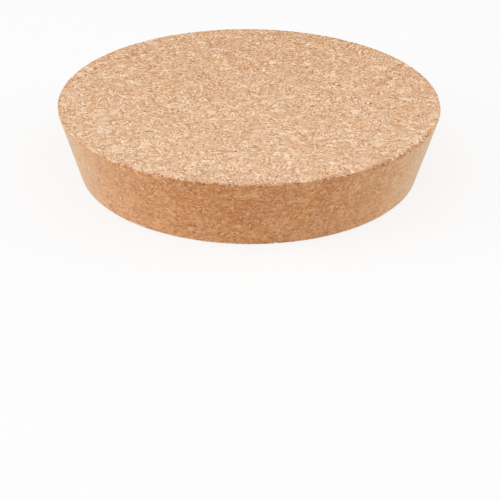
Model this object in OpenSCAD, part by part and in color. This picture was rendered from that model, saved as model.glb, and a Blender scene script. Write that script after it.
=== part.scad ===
// Tapered cork stopper for a wide-mouthed jar.
//
// The stopper is one disc of pressed cork, turned to a cone. It stands on its narrow face, which
// enters the jar first, and the wide face stays above the rim. The origin is the centre of the
// narrow face, and +Z runs up the axis to the wide face. All sizes are in millimetres.

/* [Stopper] */
// Diameter of the wide upper end, measured over its rounded edge
top_d = 105; // [60:1:160]
// Diameter of the narrow lower end, where the wall's line meets the plane of the lower face
bottom_d = 94; // [50:1:150]
// Thickness, from the lower face to the upper face
thickness = 20; // [10:1:40]

/* [Edges] */
// Radius that sanding leaves on the upper edge
top_edge_r = 0.5; // [0.2:0.1:2]
// Radius that sanding leaves on the lower edge
bottom_edge_r = 0.5; // [0.2:0.1:2]

/* [Hidden] */

// Steps round the full turn, for the body and for the edges' arcs
body_fn = 240;
edge_fn = 96;

cork_colour = [0.86, 0.70, 0.54];

// The wall's line starts and ends this far inside the arcs, so that it always meets them
arc_overlap = 0.0001;

// Centre of the upper edge's arc in the half section
top_centre = [top_d / 2 - top_edge_r, thickness - top_edge_r];

// The wall starts at the foot point and touches the upper arc. Its lean from the vertical is the
// lean of the line to the arc's centre, plus the angle that the arc's radius takes up at the foot.
foot = [bottom_d / 2, 0];
foot_to_centre = top_centre - foot;
wall_lean = atan2(foot_to_centre[0], foot_to_centre[1])
    + asin(top_edge_r / norm(foot_to_centre));
wall_normal = [cos(wall_lean), -sin(wall_lean)];

// Centre of the lower edge's arc, which touches both the lower face and the wall
bottom_centre = [foot[0] - bottom_edge_r * tan(45 - wall_lean / 2), bottom_edge_r];

// Where the wall's line meets an edge's arc
function wall_point(centre, radius) = centre + (radius - arc_overlap) * wall_normal;

// One rounded edge of the half section
module edge_arc(centre, radius) {
    translate(centre) circle(r = radius, $fn = edge_fn);
}

// Half of the stopper's section, right of its axis. The straight sides run between the points
// where they meet the arcs, and the arcs fill the corners.
module half_section() {
    polygon([
        [0, 0],
        [bottom_centre[0], 0],
        wall_point(bottom_centre, bottom_edge_r),
        wall_point(top_centre, top_edge_r),
        [top_centre[0], thickness],
        [0, thickness],
    ]);
    edge_arc(bottom_centre, bottom_edge_r);
    edge_arc(top_centre, top_edge_r);
}

// The whole stopper: the half section turned round the axis
module stopper() {
    color(cork_colour) rotate_extrude($fn = body_fn) half_section();
}

stopper();
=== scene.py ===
"""Looks of a tapered cork stopper: packed granules, a sanded wide face and a turned wall.

The stopper is one disc of pressed cork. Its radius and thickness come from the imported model. One
granule field in space shapes the relief of the mesh and tints the finishes, so a hollow in the mesh
is a dark hollow in the finish too. Sizes are in metres, and the field works in millimetres.
"""
import logging
import math
from dataclasses import dataclass, field
from enum import Enum
from typing import Union

import bpy
import numpy as np
from mathutils import Euler, Matrix, Vector


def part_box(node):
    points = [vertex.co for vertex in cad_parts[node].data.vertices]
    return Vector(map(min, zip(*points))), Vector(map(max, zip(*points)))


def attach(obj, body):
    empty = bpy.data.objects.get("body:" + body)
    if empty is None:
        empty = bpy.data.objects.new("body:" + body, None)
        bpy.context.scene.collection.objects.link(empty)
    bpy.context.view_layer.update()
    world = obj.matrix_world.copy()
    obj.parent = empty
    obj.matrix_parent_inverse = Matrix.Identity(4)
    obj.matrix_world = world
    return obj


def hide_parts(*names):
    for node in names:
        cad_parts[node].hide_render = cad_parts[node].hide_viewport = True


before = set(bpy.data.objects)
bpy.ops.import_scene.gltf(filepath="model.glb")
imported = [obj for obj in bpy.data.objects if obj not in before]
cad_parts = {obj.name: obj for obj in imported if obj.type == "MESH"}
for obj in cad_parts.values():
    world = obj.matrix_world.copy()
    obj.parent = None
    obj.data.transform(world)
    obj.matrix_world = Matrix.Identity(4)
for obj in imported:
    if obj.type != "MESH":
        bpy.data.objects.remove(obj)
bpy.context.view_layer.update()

log = logging.getLogger("cork_stopper")

MM = 0.001
PER_METRE = 1000.0
FULL_TURN = 2.0 * math.pi
REST_PLACE = "rest_place"
BAKE_MAP = "OFBake"

# Noises and the random numbers of cells lie about this value
MIDDLE = 0.5
MIDDLE_POINT = (MIDDLE, MIDDLE, MIDDLE)

# The sRGB curve is a straight line for dark values and a power for the rest
SCREEN_TOP = 255.0
DARK_LIMIT = 0.04045
DARK_SLOPE = 12.92
SCREEN_OFFSET = 0.055
SCREEN_POWER = 2.4

Node = bpy.types.Node
Socket = bpy.types.NodeSocket
Tree = bpy.types.NodeTree
Colour = tuple[float, float, float, float]
ScreenColour = tuple[int, int, int]
Value = Union[float, tuple[float, ...], Socket]
Layers = tuple[tuple[Socket, str], ...]

WHITE: Colour = (1.0, 1.0, 1.0, 1.0)

# Sockets that several groups and materials share
FIELD_MASKS = ("Tone", "Tint", "Lines", "Grain", "Busy", "Crevice", "Pit", "Dash", "Flake")
# Torn and chipped are wear; the third mask is a band of painted bounce light along an edge
EDGE_MASKS = ("Torn", "Chipped", "Rubbed")
# One of these strengths is painted light: how much paler the wide face is painted towards the front
FINISH_STRENGTHS = (
    "Contrast", "Line strength", "Grain strength", "Crevice strength", "Pit strength",
    "Flake strength", "Bleach", "Drift", "Mean roughness",
)
FINISH_COLOURS = (
    "Tan", "Peach", "Olive", "Amber", "Pale", "Deep", "Cream",
    "Crevice brown", "Pit brown", "Torn brown", "Rubbed tan", "Chip tan",
)


def add_object(name: str, data: bpy.types.ID) -> bpy.types.Object:
    """Adds an object to the scene.

    Args:
        name: The object's name.
        data: Its mesh, light or camera.

    Returns:
        The new object.
    """
    thing = bpy.data.objects.new(name, data)
    bpy.context.scene.collection.objects.link(thing)
    return thing


def from_screen(shown: ScreenColour) -> Colour:
    """Turns a colour as a screen shows it into the linear colour that a shader needs.

    Args:
        shown: Red, green and blue, each from 0 to 255.

    Returns:
        The linear colour, with full alpha.
    """
    linear = []
    for channel in shown:
        share = channel / SCREEN_TOP
        if share <= DARK_LIMIT:
            linear.append(share / DARK_SLOPE)
        else:
            linear.append(((share + SCREEN_OFFSET) / (1.0 + SCREEN_OFFSET)) ** SCREEN_POWER)
    return (linear[0], linear[1], linear[2], 1.0)


class MixKind(Enum):
    """What a Mix node mixes: its data type, and the places of its two inputs and its output."""

    NUMBER = ("FLOAT", 2, 3, 0)
    VECTOR = ("VECTOR", 4, 5, 1)
    COLOUR = ("RGBA", 6, 7, 2)


class Wiring:
    """Adds nodes to one shader or geometry tree, and links them."""

    def __init__(self, tree: Tree) -> None:
        """Keeps the shader or geometry tree that the nodes go into."""
        self.tree = tree

    def add(self, kind: str, **settings: object) -> Node:
        """Adds one node.

        Args:
            kind: Blender's name of the node's type.
            settings: The node's own settings, by name.

        Returns:
            The new node.
        """
        node = self.tree.nodes.new(kind)
        for name, setting in settings.items():
            setattr(node, name, setting)
        return node

    def feed(self, socket: Socket, value: Value) -> None:
        """Links a socket to an input, or sets a plain value there.

        Args:
            socket: The input.
            value: An output to link, or the value to set.
        """
        if isinstance(value, Socket):
            self.tree.links.new(value, socket)
        else:
            socket.default_value = value

    def number(self, operation: str, *values: Value) -> Socket:
        """Adds a Math node.

        Args:
            operation: Blender's name of the operation.
            values: The operands, in order.

        Returns:
            The result.
        """
        node = self.add("ShaderNodeMath", operation=operation)
        for socket, value in zip(node.inputs, values):
            self.feed(socket, value)
        return node.outputs[0]

    def times(self, first: Value, second: Value) -> Socket:
        """Multiplies two numbers."""
        return self.number("MULTIPLY", first, second)

    def hypotenuse(self, first: Value, second: Value) -> Socket:
        """Works out the long side of a right triangle from its two short sides."""
        squares = self.number("ADD", self.times(first, first), self.times(second, second))
        return self.number("SQRT", squares)

    def swing(self, value: Value, strength: Value) -> Socket:
        """Turns a number that lies about one half into one about 0, times a strength."""
        return self.times(self.number("SUBTRACT", value, MIDDLE), strength)

    def vector(self, operation: str, *values: Value) -> Socket:
        """Adds a Vector Math node.

        Args:
            operation: Blender's name of an operation that gives a vector.
            values: The operands, in order.

        Returns:
            The resulting vector.
        """
        node = self.add("ShaderNodeVectorMath", operation=operation)
        for socket, value in zip(node.inputs, values):
            self.feed(socket, value)
        return node.outputs["Vector"]

    def enlarge(self, vector: Value, factor: Value) -> Socket:
        """Multiplies a vector by a number.

        Args:
            vector: The vector.
            factor: The number.

        Returns:
            The longer or shorter vector.
        """
        node = self.add("ShaderNodeVectorMath", operation="SCALE")
        self.feed(node.inputs["Vector"], vector)
        self.feed(node.inputs["Scale"], factor)
        return node.outputs["Vector"]

    def parts(self, vector: Value) -> tuple[Socket, ...]:
        """Splits a vector or a colour.

        Args:
            vector: The vector or colour.

        Returns:
            Its three numbers.
        """
        node = self.add("ShaderNodeSeparateXYZ")
        self.feed(node.inputs[0], vector)
        return tuple(node.outputs)

    def mix(self, kind: MixKind, share: Value, first: Value, second: Value) -> Socket:
        """Adds a Mix node.

        Args:
            kind: What is mixed.
            share: The second one's share, from 0 to 1.
            first: What shows at a share of 0.
            second: What shows at a share of 1.

        Returns:
            The mixture.
        """
        data_type, first_place, second_place, output_place = kind.value
        node = self.add("ShaderNodeMix", data_type=data_type)
        self.feed(node.inputs[0], share)
        self.feed(node.inputs[first_place], first)
        self.feed(node.inputs[second_place], second)
        return node.outputs[output_place]

    def fade(self, value: Value, zero_at: Value, one_at: Value) -> Socket:
        """Turns a number into a soft mask.

        Args:
            value: The number.
            zero_at: Where the mask is 0.
            one_at: Where the mask is 1, on either side of zero_at.

        Returns:
            The mask, from 0 to 1.
        """
        node = self.add("ShaderNodeMapRange", interpolation_type="SMOOTHSTEP")
        self.feed(node.inputs["Value"], value)
        self.feed(node.inputs["From Min"], zero_at)
        self.feed(node.inputs["From Max"], one_at)
        return node.outputs["Result"]

    def noise(
        self, place: Value, width: float, detail: float = 1.0, roughness: float = 0.5, output: str = "Fac"
    ) -> Socket:
        """Adds a noise that varies over a given width.

        Args:
            place: The point in millimetres.
            width: The width over which the noise varies, in millimetres.
            detail: How many finer octaves are added.
            roughness: How strong the finer octaves are.
            output: The noise's output, Fac or Color.

        Returns:
            One number about one half for Fac, and three such numbers for Color.
        """
        node = self.add("ShaderNodeTexNoise", noise_dimensions="3D")
        self.feed(node.inputs["Vector"], place)
        self.feed(node.inputs["Scale"], 1.0 / width)
        self.feed(node.inputs["Detail"], detail)
        self.feed(node.inputs["Roughness"], roughness)
        return node.outputs[output]

    def stray(self, place: Value, width: float, amount: float, detail: float = 1.0) -> Socket:
        """Moves points at random, so that what they are used for gets bent sides.

        Args:
            place: The point in millimetres.
            width: The width over which the move varies, in millimetres.
            amount: The move in millimetres where the noise is 1 from its middle.
            detail: How many finer octaves the move has.

        Returns:
            The moved point in millimetres.
        """
        wander = self.noise(place, width, detail=detail, output="Color")
        wander = self.vector("SUBTRACT", wander, MIDDLE_POINT)
        return self.vector("ADD", place, self.enlarge(wander, amount))

    def cells(self, place: Value, width: float, feature: str = "F1") -> Node:
        """Adds cells that fill space.

        Args:
            place: The point in millimetres.
            width: The mean width of a cell, in millimetres.
            feature: Blender's name of what Distance measures, normally the way from the centre.

        Returns:
            The Voronoi node. Color is random for each cell, and Distance is in widths.
        """
        node = self.add("ShaderNodeTexVoronoi", voronoi_dimensions="3D", feature=feature)
        self.feed(node.inputs["Vector"], place)
        self.feed(node.inputs["Scale"], 1.0 / width)
        return node

    def cell_gap(self, place: Value, width: float) -> Socket:
        """Measures the way to the nearest side of a cell of the given mean width, in millimetres."""
        node = self.cells(place, width, "DISTANCE_TO_EDGE")
        return self.times(node.outputs["Distance"], width)

    def place_group(self, group: Tree, **inputs: Value) -> Node:
        """Places a node group in the tree.

        Args:
            group: The group.
            inputs: Its inputs by name, with an underscore for each space.

        Returns:
            The group's node.
        """
        geometry = self.tree.bl_idname == TreeKind.RELIEF.value
        node = self.add("GeometryNodeGroup" if geometry else "ShaderNodeGroup", node_tree=group)
        for name, value in inputs.items():
            self.feed(node.inputs[name.replace("_", " ")], value)
        return node


class SocketKind(Enum):
    """The kinds of socket that the groups here have."""

    NUMBER = "NodeSocketFloat"
    VECTOR = "NodeSocketVector"
    COLOUR = "NodeSocketColor"
    GEOMETRY = "NodeSocketGeometry"


class TreeKind(Enum):
    """The two kinds of tree that read the granule field."""

    FINISH = "ShaderNodeTree"
    RELIEF = "GeometryNodeTree"


class Group:
    """A node group while it is being built."""

    def __init__(
        self, name: str, kind: TreeKind, inputs: dict[str, SocketKind], outputs: dict[str, SocketKind]
    ) -> None:
        """Makes the empty group with its sockets.

        Args:
            name: The group's name.
            kind: Whether it serves finishes or the relief.
            inputs: The inputs by name.
            outputs: The outputs by name.
        """
        self.tree = bpy.data.node_groups.new(name, kind.value)
        for label, socket in inputs.items():
            self.tree.interface.new_socket(label, in_out="INPUT", socket_type=socket.value)
        for label, socket in outputs.items():
            self.tree.interface.new_socket(label, in_out="OUTPUT", socket_type=socket.value)
        self.wiring = Wiring(self.tree)
        self.inputs = self.wiring.add("NodeGroupInput").outputs
        self.outputs = self.wiring.add("NodeGroupOutput").inputs

    def give(self, **results: Value) -> None:
        """Links each result to the group's output of that name."""
        for name, value in results.items():
            self.wiring.feed(self.outputs[name], value)

    def cover(self, colour: Value, layers: Layers) -> Socket:
        """Lays some of the colours among the group's inputs over a colour.

        Args:
            colour: The colour below.
            layers: Each layer's share from 0 to 1 and its input's name, the lowest layer first.

        Returns:
            The covered colour.
        """
        for share, name in layers:
            colour = self.wiring.mix(MixKind.COLOUR, share, colour, self.inputs[name])
        return colour


@dataclass(frozen=True)
class GranuleField:
    """The pressed granules as a field in space. All sizes are in millimetres.

    Large and middle granules lie among fine ones. Each has its own tone and its own direction of
    growth lines and dashes. Crevices run along some of the granules' sides, pits lie between, and
    soft pale flakes lie among the rest. Some patches are calm and others busy.
    """

    squash: tuple[float, float, float] = (0.76, 1.12, 1.6)
    fine_width: float = 1.15
    middle_width: float = 2.1
    large_width: float = 3.4
    middle_share: float = 0.45
    large_share: float = 0.15
    bend_width: float = 0.6
    bend: float = 0.55
    line_length: float = 2.6
    line_depth: float = 1.7
    line_spacing: float = 0.44
    line_fineness: float = 0.8
    grain_width: float = 0.4
    calm_patch: float = 2.6
    calm_fade: tuple[float, float] = (0.36, 0.58)
    hue_patch: float = 4.0
    hue_fade: tuple[float, float] = (0.35, 0.65)
    own_hue: float = 0.05
    crevice_width: float = 0.17
    crevice_patch: float = 1.2
    crevice_fade: tuple[float, float] = (0.45, 0.58)
    pit_spacing: float = 2.8
    pit_share: float = 0.22
    pit_radius: float = 0.5
    dash_spacing: float = 1.5
    dash_share: float = 0.08
    dash_radius: float = 0.75
    dash_slimness: float = 3.0
    spot_least: float = 0.4
    spot_core: float = 0.55
    flake_width: float = 2.4
    flake_share: float = 0.08
    flake_shift: tuple[float, float, float] = (31.0, 17.0, 5.0)

    def group(self, kind: TreeKind) -> Tree:
        """Builds the field as a node group.

        Args:
            kind: Whether the group serves finishes or the relief.

        Returns:
            The group. Place is in millimetres. Tone, Tint, Lines and Grain run from 0 to 1, Gap is
            the distance to the granule's side in millimetres, and the rest are masks.
        """
        group = Group(
            "granule_field_" + kind.name.lower(),
            kind,
            {"Place": SocketKind.VECTOR},
            {name: SocketKind.NUMBER for name in (*FIELD_MASKS, "Gap")},
        )
        wiring = group.wiring
        place = group.inputs["Place"]
        loose = wiring.stray(place, self.bend_width, self.bend, detail=2.0)
        bent = wiring.vector("MULTIPLY", loose, self.squash)
        granule, gap = self.nested_cells(wiring, bent)
        _, tone, own_tint = wiring.parts(granule)
        patch_tint = wiring.fade(wiring.noise(place, self.hue_patch, detail=2.0), *self.hue_fade)

        turned = wiring.add("ShaderNodeVectorRotate", rotation_type="EULER_XYZ")
        wiring.feed(turned.inputs["Vector"], bent)
        wiring.feed(turned.inputs["Rotation"], wiring.enlarge(granule, FULL_TURN))
        grown = turned.outputs["Vector"]
        squeeze = (1.0 / self.line_length, 1.0 / self.line_depth, 1.0 / self.line_spacing)
        growth = wiring.vector("MULTIPLY", grown, squeeze)
        slim = wiring.vector("MULTIPLY", grown, (1.0, self.dash_slimness, self.dash_slimness))

        broken = wiring.fade(wiring.noise(place, self.crevice_patch), *self.crevice_fade)
        crevice = wiring.times(wiring.fade(gap, self.crevice_width, 0.0), broken)
        pale = wiring.cells(wiring.vector("ADD", loose, self.flake_shift), self.flake_width)
        chance = wiring.parts(pale.outputs["Color"])[0]

        group.give(
            Tone=tone,
            Tint=wiring.mix(MixKind.NUMBER, self.own_hue, patch_tint, own_tint),
            Lines=wiring.noise(growth, 1.0, detail=2.0, roughness=self.line_fineness),
            Grain=wiring.noise(bent, self.grain_width),
            Busy=wiring.fade(wiring.noise(place, self.calm_patch), *self.calm_fade),
            Gap=gap,
            Crevice=crevice,
            Pit=self.spots(wiring, loose, self.pit_spacing, self.pit_share, self.pit_radius),
            Dash=self.spots(wiring, slim, self.dash_spacing, self.dash_share, self.dash_radius),
            Flake=wiring.number("GREATER_THAN", chance, 1.0 - self.flake_share),
        )
        return group.tree

    def nested_cells(self, wiring: Wiring, bent: Value) -> tuple[Socket, Socket]:
        """Lays middle and large granules among the fine ones.

        Args:
            wiring: Where the nodes go.
            bent: The bent point in millimetres.

        Returns:
            Three random numbers for each granule as a vector, and the distance to its side.
        """
        granule = wiring.cells(bent, self.fine_width).outputs["Color"]
        gap = wiring.cell_gap(bent, self.fine_width)
        wider = ((self.middle_width, self.middle_share), (self.large_width, self.large_share))
        for width, share in wider:
            cell = wiring.cells(bent, width).outputs["Color"]
            taken = wiring.number("GREATER_THAN", wiring.parts(cell)[0], 1.0 - share)
            granule = wiring.mix(MixKind.VECTOR, taken, granule, cell)
            gap = wiring.mix(MixKind.NUMBER, taken, gap, wiring.cell_gap(bent, width))
        return granule, gap

    def spots(
        self, wiring: Wiring, place: Value, spacing: float, share: float, radius: float
    ) -> Socket:
        """Scatters round spots through space.

        Args:
            wiring: Where the nodes go.
            place: The point in millimetres.
            spacing: The mean distance between places that a spot may take.
            share: The share of those places that hold a spot.
            radius: The largest radius of a spot.

        Returns:
            The mask of the spots.
        """
        cells = wiring.cells(place, spacing)
        chance, size, _ = wiring.parts(cells.outputs["Color"])
        taken = wiring.number("GREATER_THAN", chance, 1.0 - share)
        range_of_size = (1.0 - self.spot_least) * radius
        reach = wiring.number("MULTIPLY_ADD", size, range_of_size, self.spot_least * radius)
        distance = wiring.times(cells.outputs["Distance"], spacing)
        core = wiring.times(reach, self.spot_core)
        return wiring.times(wiring.fade(distance, reach, core), taken)


@dataclass(frozen=True)
class Rim:
    """A rounded edge: its radius and height in millimetres, and its wear from 0 to 1."""

    radius: float
    height: float
    wear: float

    def worn(self, wiring: Wiring, wear_and_bounce_group: Tree, place: Value) -> Node:
        """Places the wear group for this edge, with outputs for torn crumbs, chipped bits and a band of
        painted bounce light.
        """
        return wiring.place_group(
            wear_and_bounce_group, Place=place, Rim_radius=self.radius, Rim_height=self.height, Amount=self.wear
        )


@dataclass(frozen=True)
class RimWearAndBounce:
    """Torn and chipped granules along an edge, and a band of painted bounce light along it. All sizes are
    in millimetres.
    """

    reach: float = 1.5
    reach_core: float = 0.25
    patch: float = 6.0
    patch_fade: tuple[float, float] = (0.38, 0.62)
    granule: float = 0.8
    granule_fade: tuple[float, float] = (0.6, 0.3)
    share: float = 0.62
    bend_width: float = 0.5
    bend: float = 0.9
    chip_width: float = 0.9
    chip_fade: tuple[float, float] = (0.48, 0.58)
    chip_reach: float = 0.9
    chip_core: float = 0.5
    # How far up from the edge the painted bounce light reaches
    painted_bounce_reach: float = 12.0

    def group(self, kind: TreeKind) -> Tree:
        """Builds the wear as a node group.

        Args:
            kind: Whether the group serves finishes or the relief.

        Returns:
            The group. Torn holds crumbs that broke out, Chipped holds bits that the other face's colour
            shows through, and the third output is a soft band along the edge for painted bounce light.
        """
        group = Group(
            "rim_wear_and_bounce_" + kind.name.lower(),
            kind,
            {
                "Place": SocketKind.VECTOR,
                "Rim radius": SocketKind.NUMBER,
                "Rim height": SocketKind.NUMBER,
                "Amount": SocketKind.NUMBER,
            },
            {name: SocketKind.NUMBER for name in EDGE_MASKS},
        )
        wiring = group.wiring
        given = group.inputs
        place = given["Place"]
        across, along, height = wiring.parts(place)
        inward = wiring.number("SUBTRACT", wiring.hypotenuse(across, along), given["Rim radius"])
        down = wiring.number("SUBTRACT", height, given["Rim height"])
        distance = wiring.hypotenuse(inward, down)
        near = wiring.fade(distance, self.reach, self.reach * self.reach_core)

        cells = wiring.cells(wiring.stray(place, self.bend_width, self.bend), self.granule)
        chance = wiring.parts(cells.outputs["Color"])[1]
        patch = wiring.fade(wiring.noise(place, self.patch), *self.patch_fade)
        limit = wiring.times(patch, self.share)
        limit = wiring.times(limit, given["Amount"])
        torn = wiring.number("LESS_THAN", chance, limit)
        crumb = wiring.fade(cells.outputs["Distance"], *self.granule_fade)
        torn = wiring.times(torn, crumb)

        ragged = wiring.fade(wiring.noise(place, self.chip_width, detail=2.0), *self.chip_fade)
        edging = wiring.fade(distance, self.chip_reach, self.chip_reach * self.chip_core)
        group.give(
            Torn=wiring.times(torn, near),
            Chipped=wiring.times(ragged, edging),
            # Painted light: a band that is full at the edge and fades over the reach, for light bounced
            # up from the floor
            Rubbed=wiring.fade(distance, self.painted_bounce_reach, 0.0),
        )
        return group.tree


class Zone(Enum):
    """The stretches of the stopper's surface, each with its place among the material slots."""

    WIDE_FACE = 0
    WALL = 1
    NARROW_FACE = 2


@dataclass(frozen=True)
class CorkFinish:
    """One finish of the pressed cork: how a tool leaves the granules' colour and feel. The faces'
    palettes are paler than the wall's partly as painted sheen, which the wall has as a shader setting
    instead.

    The colours are as a screen shows them, apart from the veil, which tints gloss and sheen. The
    colours and most strengths are named after the sockets of the tint group that they feed.
    """

    name: str
    tan: ScreenColour
    peach: ScreenColour
    olive: ScreenColour
    amber: ScreenColour
    pale: ScreenColour
    deep: ScreenColour
    cream: ScreenColour
    crevice_brown: ScreenColour
    pit_brown: ScreenColour
    torn_brown: ScreenColour
    # The colour of the painted bounce light near the foot
    rubbed_tan: ScreenColour
    chip_tan: ScreenColour
    contrast: float
    line_strength: float
    crevice_strength: float
    pit_strength: float
    flake_strength: float
    drift: float
    mean_roughness: float
    bump: float
    grain_strength: float = 5.0
    # Painted light: how much paler the face is painted towards the front, where more light would fall
    bleach: float = 0.0
    gloss: float = 0.25
    sheen: float = 0.1
    sheen_roughness: float = 0.45
    veil: Colour = (1.0, 1.0, 0.75, 1.0)

    def material(
        self, tint_group: Tree, wear_and_bounce_group: Tree, field_group: Tree, rims: list[Rim]
    ) -> bpy.types.Material:
        """Builds the material.

        Args:
            tint_group: The group that turns the field into colour, roughness and height.
            wear_and_bounce_group: The group that finds wear and a band of painted bounce light near an
                edge.
            field_group: The granule field for finishes.
            rims: The worn edges. The band of painted bounce light follows the last one.

        Returns:
            The material.
        """
        material = bpy.data.materials.new(self.name)
        material.use_nodes = True
        material.node_tree.nodes.clear()
        wiring = Wiring(material.node_tree)
        rest = wiring.add("ShaderNodeAttribute", attribute_type="GEOMETRY", attribute_name=REST_PLACE)
        place = rest.outputs["Vector"]
        granules = wiring.place_group(field_group, Place=place)
        torn = 0.0
        chipped = 0.0
        painted_bounce = 0.0
        for rim in rims:
            wear = rim.worn(wiring, wear_and_bounce_group, place)
            torn = wiring.number("MAXIMUM", torn, wear.outputs["Torn"])
            chipped = wiring.number("MAXIMUM", chipped, wear.outputs["Chipped"])
            # Painted light: only the foot's band is kept, where light bounced up from the floor is
            # painted
            painted_bounce = wear.outputs["Rubbed"]
        inputs = {name: granules.outputs[name] for name in FIELD_MASKS}
        inputs.update(Place=place, Torn=torn, Chipped=chipped, Rubbed=painted_bounce)
        for name in FINISH_STRENGTHS:
            inputs[name] = getattr(self, name.lower().replace(" ", "_"))
        for name in FINISH_COLOURS:
            inputs[name] = from_screen(getattr(self, name.lower().replace(" ", "_")))
        tint = wiring.place_group(tint_group, **inputs)
        bump = wiring.add("ShaderNodeBump")
        bump.inputs["Strength"].default_value = 1.0
        bump.inputs["Distance"].default_value = self.bump * MM
        wiring.feed(bump.inputs["Height"], tint.outputs["Height"])
        shader = wiring.add("ShaderNodeBsdfPrincipled")
        shader.inputs["Specular IOR Level"].default_value = self.gloss
        shader.inputs["Specular Tint"].default_value = self.veil
        shader.inputs["Sheen Weight"].default_value = self.sheen
        shader.inputs["Sheen Roughness"].default_value = self.sheen_roughness
        shader.inputs["Sheen Tint"].default_value = self.veil
        wiring.feed(shader.inputs["Base Color"], tint.outputs["Color"])
        wiring.feed(shader.inputs["Roughness"], tint.outputs["Roughness"])
        wiring.feed(shader.inputs["Normal"], bump.outputs["Normal"])
        output = wiring.add("ShaderNodeOutputMaterial")
        wiring.feed(output.inputs["Surface"], shader.outputs["BSDF"])
        return material


@dataclass(frozen=True)
class CorkTint:
    """Turns the granule field into colour, roughness and height. Sizes are in millimetres."""

    peach_fade: tuple[float, float] = (0.5, 0.85)
    olive_fade: tuple[float, float] = (0.5, 0.15)
    drift_width: float = 9.0
    calm_shade: float = 0.38
    busy_shade: float = 0.6
    # Where the painted front light starts and where it is full, along y in millimetres
    bleach_fade: tuple[float, float] = (60.0, -60.0)
    torn_least: float = 0.5
    torn_tone: float = 0.4
    line_polish: float = 0.12
    crevice_matt: float = 0.12
    line_height: float = 0.35
    tone_height: float = 0.25
    pit_height: float = 1.2

    def group(self) -> Tree:
        """Builds the group.

        Returns:
            The group, with the outputs Color, Roughness and Height.
        """
        inputs = dict.fromkeys(FIELD_MASKS + EDGE_MASKS + FINISH_STRENGTHS, SocketKind.NUMBER)
        inputs.update(dict.fromkeys(FINISH_COLOURS, SocketKind.COLOUR))
        inputs["Place"] = SocketKind.VECTOR
        group = Group(
            "cork_tint",
            TreeKind.FINISH,
            inputs,
            {"Color": SocketKind.COLOUR, "Roughness": SocketKind.NUMBER, "Height": SocketKind.NUMBER},
        )
        wiring = group.wiring
        given = group.inputs
        crevice = wiring.number("MAXIMUM", given["Crevice"], given["Dash"])
        crevice = wiring.times(crevice, given["Crevice strength"])
        colour = group.cover(given["Tan"], self.layers(group, crevice))

        rough = given["Mean roughness"]
        rough = wiring.number("MULTIPLY_ADD", given["Lines"], -self.line_polish, rough)
        rough = wiring.number("MULTIPLY_ADD", crevice, self.crevice_matt, rough)

        height = wiring.times(given["Tone"], self.tone_height)
        height = wiring.number("MULTIPLY_ADD", given["Lines"], self.line_height, height)
        height = wiring.number("SUBTRACT", height, crevice)
        height = wiring.number("MULTIPLY_ADD", given["Pit"], -self.pit_height, height)
        group.give(Color=colour, Roughness=rough, Height=height)
        return group.tree

    def layers(self, group: Group, crevice: Value) -> Layers:
        """Lists the colours over the tan, from hues to lines and hollows, with painted light among them.

        Args:
            group: The group under construction.
            crevice: The crevices' share, from 0 to 1.

        Returns:
            Each layer's share and the name of its colour, the lowest layer first.
        """
        wiring = group.wiring
        given = group.inputs
        broad = wiring.noise(given["Place"], self.drift_width, detail=2.0)
        tone = wiring.swing(given["Tone"], given["Contrast"])
        tone = wiring.number("ADD", wiring.swing(broad, given["Drift"]), tone)
        speckle = wiring.swing(given["Grain"], given["Grain strength"])
        streak = wiring.swing(given["Lines"], given["Line strength"])
        vigour = wiring.number("MULTIPLY_ADD", given["Busy"], self.busy_shade, self.calm_shade)
        shade = wiring.times(wiring.number("ADD", speckle, streak), vigour)
        # Painted light: paler towards minus y, the front, as if more light fell there
        painted_front_light_share = wiring.fade(wiring.parts(given["Place"])[1], *self.bleach_fade)
        torn = wiring.number("MULTIPLY_ADD", given["Tone"], self.torn_tone, self.torn_least)
        return (
            (wiring.fade(given["Tint"], *self.peach_fade), "Peach"),
            (wiring.fade(given["Tint"], *self.olive_fade), "Olive"),
            # Painted light: lighter towards the foot, for light bounced up from the floor
            (given["Rubbed"], "Rubbed tan"),
            (wiring.times(tone, -1.0), "Amber"),
            (tone, "Pale"),
            (given["Chipped"], "Chip tan"),
            (wiring.times(given["Flake"], given["Flake strength"]), "Cream"),
            (wiring.times(shade, -1.0), "Deep"),
            (shade, "Cream"),
            (wiring.times(painted_front_light_share, given["Bleach"]), "Cream"),
            (crevice, "Crevice brown"),
            (wiring.times(given["Torn"], torn), "Torn brown"),
            (wiring.times(given["Pit"], given["Pit strength"]), "Pit brown"),
        )


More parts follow.
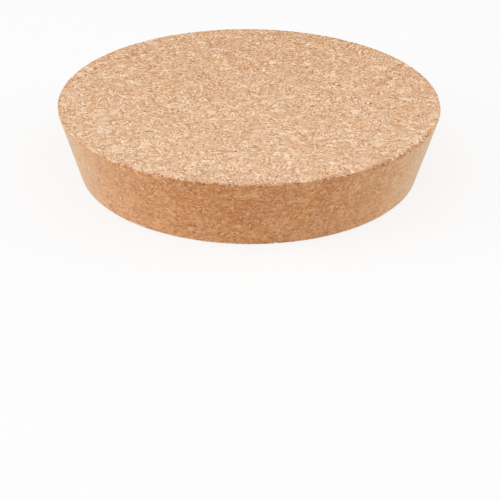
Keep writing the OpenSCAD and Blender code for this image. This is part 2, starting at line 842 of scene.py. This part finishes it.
@dataclass(frozen=True)
class Relief:
    """How deep the hollows of the mesh are. All sizes are in millimetres."""

    step: float = 0.03
    groove: float = 0.03
    groove_width: float = 0.4
    pit: float = 0.3
    torn: float = 0.4

    def press(
        self, piece: bpy.types.Object, rims: list[Rim], granules: GranuleField, wear: RimWearAndBounce
    ) -> None:
        """Sinks the hollows into the mesh, and keeps each point's place before that.

        Args:
            piece: The object with the smooth mesh.
            rims: The worn edges.
            granules: The granule field.
            wear: The wear along the edges.
        """
        group = Group(
            "granule_relief",
            TreeKind.RELIEF,
            {"Geometry": SocketKind.GEOMETRY},
            {"Geometry": SocketKind.GEOMETRY},
        )
        wiring = group.wiring
        place = wiring.enlarge(wiring.add("GeometryNodeInputPosition").outputs[0], PER_METRE)
        field_node = wiring.place_group(granules.group(TreeKind.RELIEF), Place=place)
        wear_tree = wear.group(TreeKind.RELIEF)
        torn = 0.0
        for rim in rims:
            torn = wiring.number("MAXIMUM", torn, rim.worn(wiring, wear_tree, place).outputs["Torn"])
        step = wiring.times(field_node.outputs["Tone"], self.step)
        groove = wiring.fade(field_node.outputs["Gap"], self.groove_width, 0.0)
        depth = wiring.number("MULTIPLY_ADD", groove, self.groove, step)
        pit = wiring.times(field_node.outputs["Pit"], self.pit)
        depth = wiring.number("MAXIMUM", depth, pit)
        depth = wiring.number("MAXIMUM", depth, wiring.times(torn, self.torn))

        keep = wiring.add("GeometryNodeStoreNamedAttribute", data_type="FLOAT_VECTOR", domain="POINT")
        wiring.feed(keep.inputs["Geometry"], group.inputs["Geometry"])
        keep.inputs["Name"].default_value = REST_PLACE
        wiring.feed(keep.inputs["Value"], place)
        sink = wiring.add("GeometryNodeSetPosition")
        wiring.feed(sink.inputs["Geometry"], keep.outputs["Geometry"])
        normal = wiring.add("GeometryNodeInputNormal").outputs["Normal"]
        wiring.feed(sink.inputs["Offset"], wiring.enlarge(normal, wiring.times(depth, -MM)))
        group.give(Geometry=sink.outputs["Geometry"])

        modifier = piece.modifiers.new("granule_relief", "NODES")
        modifier.node_group = group.tree
        bpy.context.view_layer.update()
        evaluated = piece.evaluated_get(bpy.context.evaluated_depsgraph_get())
        pressed = bpy.data.meshes.new_from_object(evaluated)
        pressed.name = piece.name
        smooth = piece.data
        piece.modifiers.clear()
        piece.data = pressed
        bpy.data.meshes.remove(smooth)


@dataclass(frozen=True)
class BakeMap:
    """How the surface lies on a square map. All sizes are in metres.

    The wide face lies at the lower left and the narrow one at the upper right. Half of the wall's
    strips lie at the lower right and half at the upper left.
    """

    side: float = 0.174
    wide_centre: float = 0.0535
    narrow_centre: float = 0.1265
    strips: int = 6
    strip_start: float = 0.1165
    strip_pitch: float = 0.0225
    margin: float = 0.0015
    indent: float = 0.001


@dataclass
class StopperBody:
    """The stopper's one piece: a cone with two flat faces and two rounded edges."""

    rim_radius: float
    thickness: float
    foot_radius: float = 0.047
    edge_radius: float = 0.0005
    upper_wear: float = 1.0
    lower_wear: float = 0.25
    columns: int = 720
    ring_growth: int = 6
    face_rings: int = 120
    wall_rows: int = 44
    edge_rows: int = 5
    sanded_edge_rows: int = 3
    under_rings: int = 60
    granules: GranuleField = field(default_factory=GranuleField)
    wear: RimWearAndBounce = field(default_factory=RimWearAndBounce)
    relief: Relief = field(default_factory=Relief)
    bake_map: BakeMap = field(default_factory=BakeMap)

    def edge_centres(self) -> tuple[np.ndarray, np.ndarray, float]:
        """Works out the rounded edges' centres in the half section.

        Returns:
            The upper edge's centre, the lower edge's centre and the wall's lean from the axis.
        """
        upper = np.array([self.rim_radius - self.edge_radius, self.thickness - self.edge_radius])
        rise = upper - np.array([self.foot_radius, 0.0])
        lean = math.atan2(rise[0], rise[1]) + math.asin(self.edge_radius / float(np.hypot(*rise)))
        inset = self.edge_radius * math.tan((math.pi / 2.0 - lean) / 2.0)
        lower = np.array([self.foot_radius - inset, self.edge_radius])
        return upper, lower, lean

    def rings(self) -> list[tuple[float, float, int, Zone]]:
        """Lists the rings of points from the middle of the wide face to the middle of the narrow one.

        Returns:
            Each ring's radius, height, number of points and the zone of the faces before it.
        """
        upper, lower, lean = self.edge_centres()
        found = []
        for step in range(1, self.face_rings + 1):
            radius = upper[0] * step / self.face_rings
            found.append((radius, self.thickness, self.ring_growth * step, Zone.WIDE_FACE))
        for step in range(1, self.edge_rows + 1):
            angle = math.pi / 2.0 - (math.pi / 2.0 + lean) * step / self.edge_rows
            radius = upper[0] + self.edge_radius * math.cos(angle)
            height = upper[1] + self.edge_radius * math.sin(angle)
            zone = Zone.WIDE_FACE if step <= self.sanded_edge_rows else Zone.WALL
            found.append((radius, height, self.columns, zone))
        normal = np.array([math.cos(lean), -math.sin(lean)]) * self.edge_radius
        start = upper + normal
        end = lower + normal
        for step in range(1, self.wall_rows + 1):
            radius, height = start + (end - start) * step / self.wall_rows
            found.append((radius, height, self.columns, Zone.WALL))
        for step in range(1, self.edge_rows + 1):
            angle = -lean - (math.pi / 2.0 - lean) * step / self.edge_rows
            radius = lower[0] + self.edge_radius * math.cos(angle)
            height = lower[1] + self.edge_radius * math.sin(angle)
            found.append((radius, height, self.columns, Zone.WALL))
        for step in range(self.under_rings - 1, 0, -1):
            radius = lower[0] * step / self.under_rings
            found.append((radius, 0.0, self.ring_growth * step, Zone.NARROW_FACE))
        found.append((0.0, 0.0, 1, Zone.NARROW_FACE))
        return found

    def build(self) -> bpy.types.Object:
        """Builds the piece with its relief.

        Returns:
            The new object.
        """
        points, triangles, zones = self.shell()
        mesh = bpy.data.meshes.new("cork_stopper")
        mesh.from_pydata(points.tolist(), [], triangles.tolist())
        mesh.polygons.foreach_set("material_index", zones)
        mesh.polygons.foreach_set("use_smooth", np.ones(len(zones), dtype=bool))
        self.unfold(mesh, zones)
        mesh.update()
        piece = add_object("cork_stopper", mesh)
        self.relief.press(piece, self.rims(), self.granules, self.wear)
        return piece

    def rims(self) -> list[Rim]:
        """Describes the upper and the lower edge, which the wear follows."""
        return [
            Rim(self.rim_radius * PER_METRE, self.thickness * PER_METRE, self.upper_wear),
            Rim(self.foot_radius * PER_METRE, 0.0, self.lower_wear),
        ]

    def shell(self) -> tuple[np.ndarray, np.ndarray, np.ndarray]:
        """Joins the rings into a closed shell of triangles.

        Returns:
            The points, the triangles and each triangle's zone.
        """
        points = [np.array([[0.0, 0.0, self.thickness]])]
        triangles = []
        zones = []
        before = (0, 1)
        total = 1
        for radius, height, count, zone in self.rings():
            turn = np.arange(count) * FULL_TURN / count
            level = np.full(count, height)
            points.append(np.stack([radius * np.cos(turn), radius * np.sin(turn), level], 1))
            new = self.strip(before, (total, count))
            triangles += new
            zones += [zone.value] * len(new)
            before = (total, count)
            total += count
        return np.concatenate(points), np.array(triangles), np.array(zones, dtype=np.int32)

    def strip(self, inner: tuple[int, int], outer: tuple[int, int]) -> list[tuple[int, int, int]]:
        """Joins two rings of points that may have different numbers of points.

        Args:
            inner: The first point and the number of points of the ring before.
            outer: The first point and the number of points of the ring after.

        Returns:
            The triangles between them, facing outwards.
        """
        first, first_count = inner
        second, second_count = outer
        first_steps = first_count if first_count > 1 else 0
        second_steps = second_count if second_count > 1 else 0
        new = []
        at_first = 0
        at_second = 0
        while at_first < first_steps or at_second < second_steps:
            near = first + at_first % first_count
            far = second + at_second % second_count
            second_is_behind = (2 * at_second + 1) * first_count <= (2 * at_first + 1) * second_count
            if at_first >= first_steps or (at_second < second_steps and second_is_behind):
                at_second += 1
                new.append((near, far, second + at_second % second_count))
            else:
                at_first += 1
                new.append((near, far, first + at_first % first_count))
        return new

    def unfold(self, mesh: bpy.types.Mesh, zones: np.ndarray) -> None:
        """Lays the surface flat for baking: two discs and strips of wall.

        Args:
            mesh: The smooth mesh.
            zones: Each triangle's zone.
        """
        layer = mesh.uv_layers.new(name=BAKE_MAP)
        corner = np.zeros(len(mesh.loops), dtype=np.int32)
        mesh.loops.foreach_get("vertex_index", corner)
        points = np.zeros(len(mesh.vertices) * 3)
        mesh.vertices.foreach_get("co", points)
        place = points.reshape(-1, 3)[corner].reshape(-1, 3, 3)
        flat = np.zeros((len(zones), 3, 2))
        wide = zones == Zone.WIDE_FACE.value
        narrow = zones == Zone.NARROW_FACE.value
        wall = zones == Zone.WALL.value
        mirrored = place[narrow][:, :, :2] * np.array([-1.0, 1.0])
        flat[wide] = place[wide][:, :, :2] + self.bake_map.wide_centre
        flat[narrow] = mirrored + self.bake_map.narrow_centre
        flat[wall] = self.unroll(place[wall])
        layer.data.foreach_set("uv", (flat / self.bake_map.side).ravel())

    def unroll(self, place: np.ndarray) -> np.ndarray:
        """Unrolls the wall into strips.

        Args:
            place: Each wall triangle's corners.

        Returns:
            Each corner's place on the map, in metres.
        """
        chart = self.bake_map
        share = FULL_TURN / chart.strips
        stack = chart.strips // 2
        middle = place.mean(axis=1)
        strip = np.floor(np.mod(np.arctan2(middle[:, 1], middle[:, 0]), FULL_TURN) / share)
        turn = np.arctan2(place[:, :, 1], place[:, :, 0]) - (strip * share)[:, None]
        around = np.mod(turn + math.pi, FULL_TURN) - math.pi
        mean_radius = (self.rim_radius + self.foot_radius) / 2.0

        # The way up the wall, in which each rounded edge goes on past its end of the wall
        upper, lower, lean = self.edge_centres()
        slope = np.array([math.sin(lean), math.cos(lean)])
        outward = np.array([math.cos(lean), -math.sin(lean)])
        section = np.stack([np.hypot(place[:, :, 0], place[:, :, 1]), place[:, :, 2]], axis=2)
        up = (section - lower) @ slope
        tuck = self.edge_radius - (section - lower) @ outward
        half_way = (upper - lower) @ slope / 2.0
        up = up + np.where(up > half_way, tuck, -tuck)

        far = (strip >= stack)[:, None]
        x = around * mean_radius + chart.indent
        y = up + chart.margin + np.mod(strip, stack)[:, None] * chart.strip_pitch
        x = x + np.where(far, chart.margin, chart.strip_start)
        y = y + np.where(far, chart.side - stack * chart.strip_pitch, chart.margin)
        return np.stack([x, y], axis=2)

    def dress(self, piece: bpy.types.Object) -> None:
        """Gives the piece its finishes.

        Args:
            piece: The stopper's object.
        """
        tint_group = CorkTint().group()
        field_group = self.granules.group(TreeKind.FINISH)
        wear_and_bounce_group = self.wear.group(TreeKind.FINISH)
        finishes = {Zone.WIDE_FACE: SANDED_FACE, Zone.WALL: TURNED_WALL, Zone.NARROW_FACE: SAWN_FACE}
        for zone in Zone:
            made = finishes[zone].material(tint_group, wear_and_bounce_group, field_group, self.rims())
            piece.data.materials.append(made)


# The wide face's palette is partly painted sheen: paler and less orange than the wall's, whose sheen is a
# shader setting
SANDED_FACE = CorkFinish(
    name="sanded_cork_face",
    tan=(223, 174, 132),
    peach=(226, 174, 128),
    olive=(220, 174, 136),
    amber=(213, 157, 107),
    pale=(250, 219, 193),
    deep=(174, 106, 52),
    cream=(255, 227, 197),
    crevice_brown=(146, 80, 28),
    pit_brown=(104, 50, 22),
    torn_brown=(164, 86, 38),
    rubbed_tan=(227, 180, 141),
    chip_tan=(206, 150, 104),
    contrast=0.4,
    line_strength=8.5,
    crevice_strength=0.34,
    pit_strength=0.9,
    flake_strength=0.55,
    # painted light, paler towards the front
    bleach=0.2,
    drift=0.7,
    mean_roughness=0.9,
    bump=0.05,
)
TURNED_WALL = CorkFinish(
    name="turned_cork_wall",
    tan=(200, 127, 57),
    peach=(203, 126, 51),
    olive=(197, 128, 63),
    amber=(189, 109, 34),
    pale=(216, 154, 98),
    deep=(166, 78, 0),
    cream=(227, 174, 128),
    crevice_brown=(142, 60, 0),
    pit_brown=(112, 44, 6),
    torn_brown=(150, 66, 14),
    # painted bounce light near the foot, paler than the tan
    rubbed_tan=(224, 158, 98),
    chip_tan=(230, 184, 142),
    contrast=0.8,
    line_strength=7.5,
    grain_strength=2.5,
    crevice_strength=0.4,
    pit_strength=0.95,
    flake_strength=0.4,
    drift=2.5,
    mean_roughness=0.7,
    bump=0.03,
    gloss=0.8,
    sheen=1.0,
    veil=(1.0, 0.93, 0.7, 1.0),
)
SAWN_FACE = CorkFinish(
    name="sawn_cork_face",
    tan=(218, 172, 132),
    peach=(221, 172, 128),
    olive=(215, 172, 136),
    amber=(208, 154, 108),
    pale=(244, 212, 184),
    deep=(168, 104, 56),
    cream=(252, 222, 190),
    crevice_brown=(136, 90, 56),
    pit_brown=(80, 48, 30),
    torn_brown=(124, 76, 46),
    rubbed_tan=(214, 170, 130),
    chip_tan=(200, 140, 92),
    contrast=0.8,
    line_strength=7.5,
    crevice_strength=0.55,
    pit_strength=0.85,
    flake_strength=0.5,
    drift=1.2,
    mean_roughness=0.92,
    bump=0.12,
)


@dataclass(frozen=True)
class Lamp:
    """A soft panel of light that faces the stopper."""

    name: str
    place: tuple[float, float, float]
    width: float
    depth: float
    power: float

    def build(self, aim: Vector) -> None:
        """Builds the lamp.

        Args:
            aim: The point that the panel faces.
        """
        light = bpy.data.lights.new(self.name, "AREA")
        light.shape = "RECTANGLE"
        light.size = self.width
        light.size_y = self.depth
        light.energy = self.power
        lamp = add_object(self.name, light)
        lamp.location = self.place
        lamp.rotation_euler = (Vector(self.place) - aim).to_track_quat("Z", "Y").to_euler()


@dataclass
class Studio:
    """A pale floor, soft panels of light and an even surround."""

    thickness: float
    floor_side: float = 6.0
    floor_colour: ScreenColour = (246, 246, 246)
    floor_glow: float = 0.8
    surround: float = 0.5
    lamps: tuple[Lamp, ...] = (
        Lamp("upper_panel", place=(0.0, -0.12, 0.45), width=0.5, depth=0.4, power=0.74),
        Lamp("left_panel", place=(-1.0, -0.15, 0.35), width=0.9, depth=0.6, power=5.5),
        Lamp("right_panel", place=(1.0, 0.1, 0.35), width=0.9, depth=0.6, power=3.5),
    )

    def build(self) -> None:
        """Builds the floor, the lamps and the surround, in that order."""
        self.floor()
        aim = Vector((0.0, 0.0, self.thickness / 2.0))
        for lamp in self.lamps:
            lamp.build(aim)
        self.light_surround()

    def floor(self) -> bpy.types.Object:
        """Builds the floor.

        Returns:
            The floor's object.
        """
        half = self.floor_side / 2.0
        mesh = bpy.data.meshes.new("floor")
        corners = [(-half, -half, 0.0), (half, -half, 0.0), (half, half, 0.0), (-half, half, 0.0)]
        mesh.from_pydata(corners, [], [(0, 1, 2, 3)])
        floor = add_object("floor", mesh)
        material = bpy.data.materials.new("white_floor")
        material.use_nodes = True
        material.node_tree.nodes.clear()
        wiring = Wiring(material.node_tree)
        matt = wiring.add("ShaderNodeBsdfDiffuse")
        matt.inputs["Color"].default_value = from_screen(self.floor_colour)
        glow = wiring.add("ShaderNodeEmission")
        share = wiring.times(seen_directly(wiring), self.floor_glow)
        both = wiring.add("ShaderNodeMixShader")
        wiring.feed(both.inputs["Fac"], share)
        wiring.feed(both.inputs[1], matt.outputs[0])
        wiring.feed(both.inputs[2], glow.outputs[0])
        output = wiring.add("ShaderNodeOutputMaterial")
        wiring.feed(output.inputs["Surface"], both.outputs[0])
        mesh.materials.append(material)
        return floor

    def light_surround(self) -> None:
        """Lights the scene evenly from all round, and shows white where the surround is seen."""
        world = bpy.data.worlds.new("surround")
        world.use_nodes = True
        world.node_tree.nodes.clear()
        wiring = Wiring(world.node_tree)
        even = wiring.add("ShaderNodeBackground")
        even.inputs["Strength"].default_value = self.surround
        white = wiring.add("ShaderNodeBackground")
        both = wiring.add("ShaderNodeMixShader")
        wiring.feed(both.inputs["Fac"], seen_directly(wiring))
        wiring.feed(both.inputs[1], even.outputs[0])
        wiring.feed(both.inputs[2], white.outputs[0])
        for background in (even, white):
            background.inputs["Color"].default_value = WHITE
        output = wiring.add("ShaderNodeOutputWorld")
        wiring.feed(output.inputs["Surface"], both.outputs[0])
        bpy.context.scene.world = world


def seen_directly(wiring: Wiring) -> Socket:
    """Finds the rays that show a surface to the camera, straight or by reflection.

    Args:
        wiring: Where the nodes go.

    Returns:
        1 for camera, glossy and transmission rays, and 0 for the rest.
    """
    path = wiring.add("ShaderNodeLightPath")
    shown = wiring.number("MAXIMUM", path.outputs["Is Camera Ray"], path.outputs["Is Glossy Ray"])
    return wiring.number("MAXIMUM", shown, path.outputs["Is Transmission Ray"])


@dataclass
class Viewpoint:
    """The camera in front of the stopper, looking down on it from a little above."""

    thickness: float
    distance: float = 0.42
    elevation: float = 23.705
    dip: float = 5.720
    swing: float = 0.074
    roll: float = 0.444
    lens: float = 109.26
    near_limit: float = 0.01

    def build(self) -> None:
        """Builds the camera and makes it the scene's own."""
        camera = bpy.data.cameras.new("camera")
        camera.lens = self.lens
        camera.clip_start = self.near_limit
        viewer = add_object("camera", camera)
        rise = math.radians(self.elevation)
        away = Vector((0.0, -math.cos(rise), math.sin(rise))) * self.distance
        viewer.location = away + Vector((0.0, 0.0, self.thickness))
        facing = Euler((math.pi / 2.0 - rise, 0.0, 0.0)).to_matrix()
        turn = Euler((-math.radians(self.dip), -math.radians(self.swing), 0.0)).to_matrix()
        spin = Matrix.Rotation(math.radians(self.roll), 3, "Z")
        viewer.rotation_euler = (facing @ turn @ spin).to_euler()
        bpy.context.scene.camera = viewer


def main() -> None:
    """Builds the view, the studio and the stopper, in that order."""
    logging.basicConfig(level=logging.INFO, format="%(name)s: %(message)s")
    bpy.context.scene.view_settings.view_transform = "Standard"
    _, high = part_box("stopper")
    Viewpoint(thickness=high.z).build()
    Studio(thickness=high.z).build()
    body = StopperBody(rim_radius=high.x, thickness=high.z)
    piece = body.build()
    body.dress(piece)
    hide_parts("stopper")
    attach(piece, "root")
    log.info("%s: %d triangles", piece.name, len(piece.data.polygons))


if __name__ == "__main__":
    main()
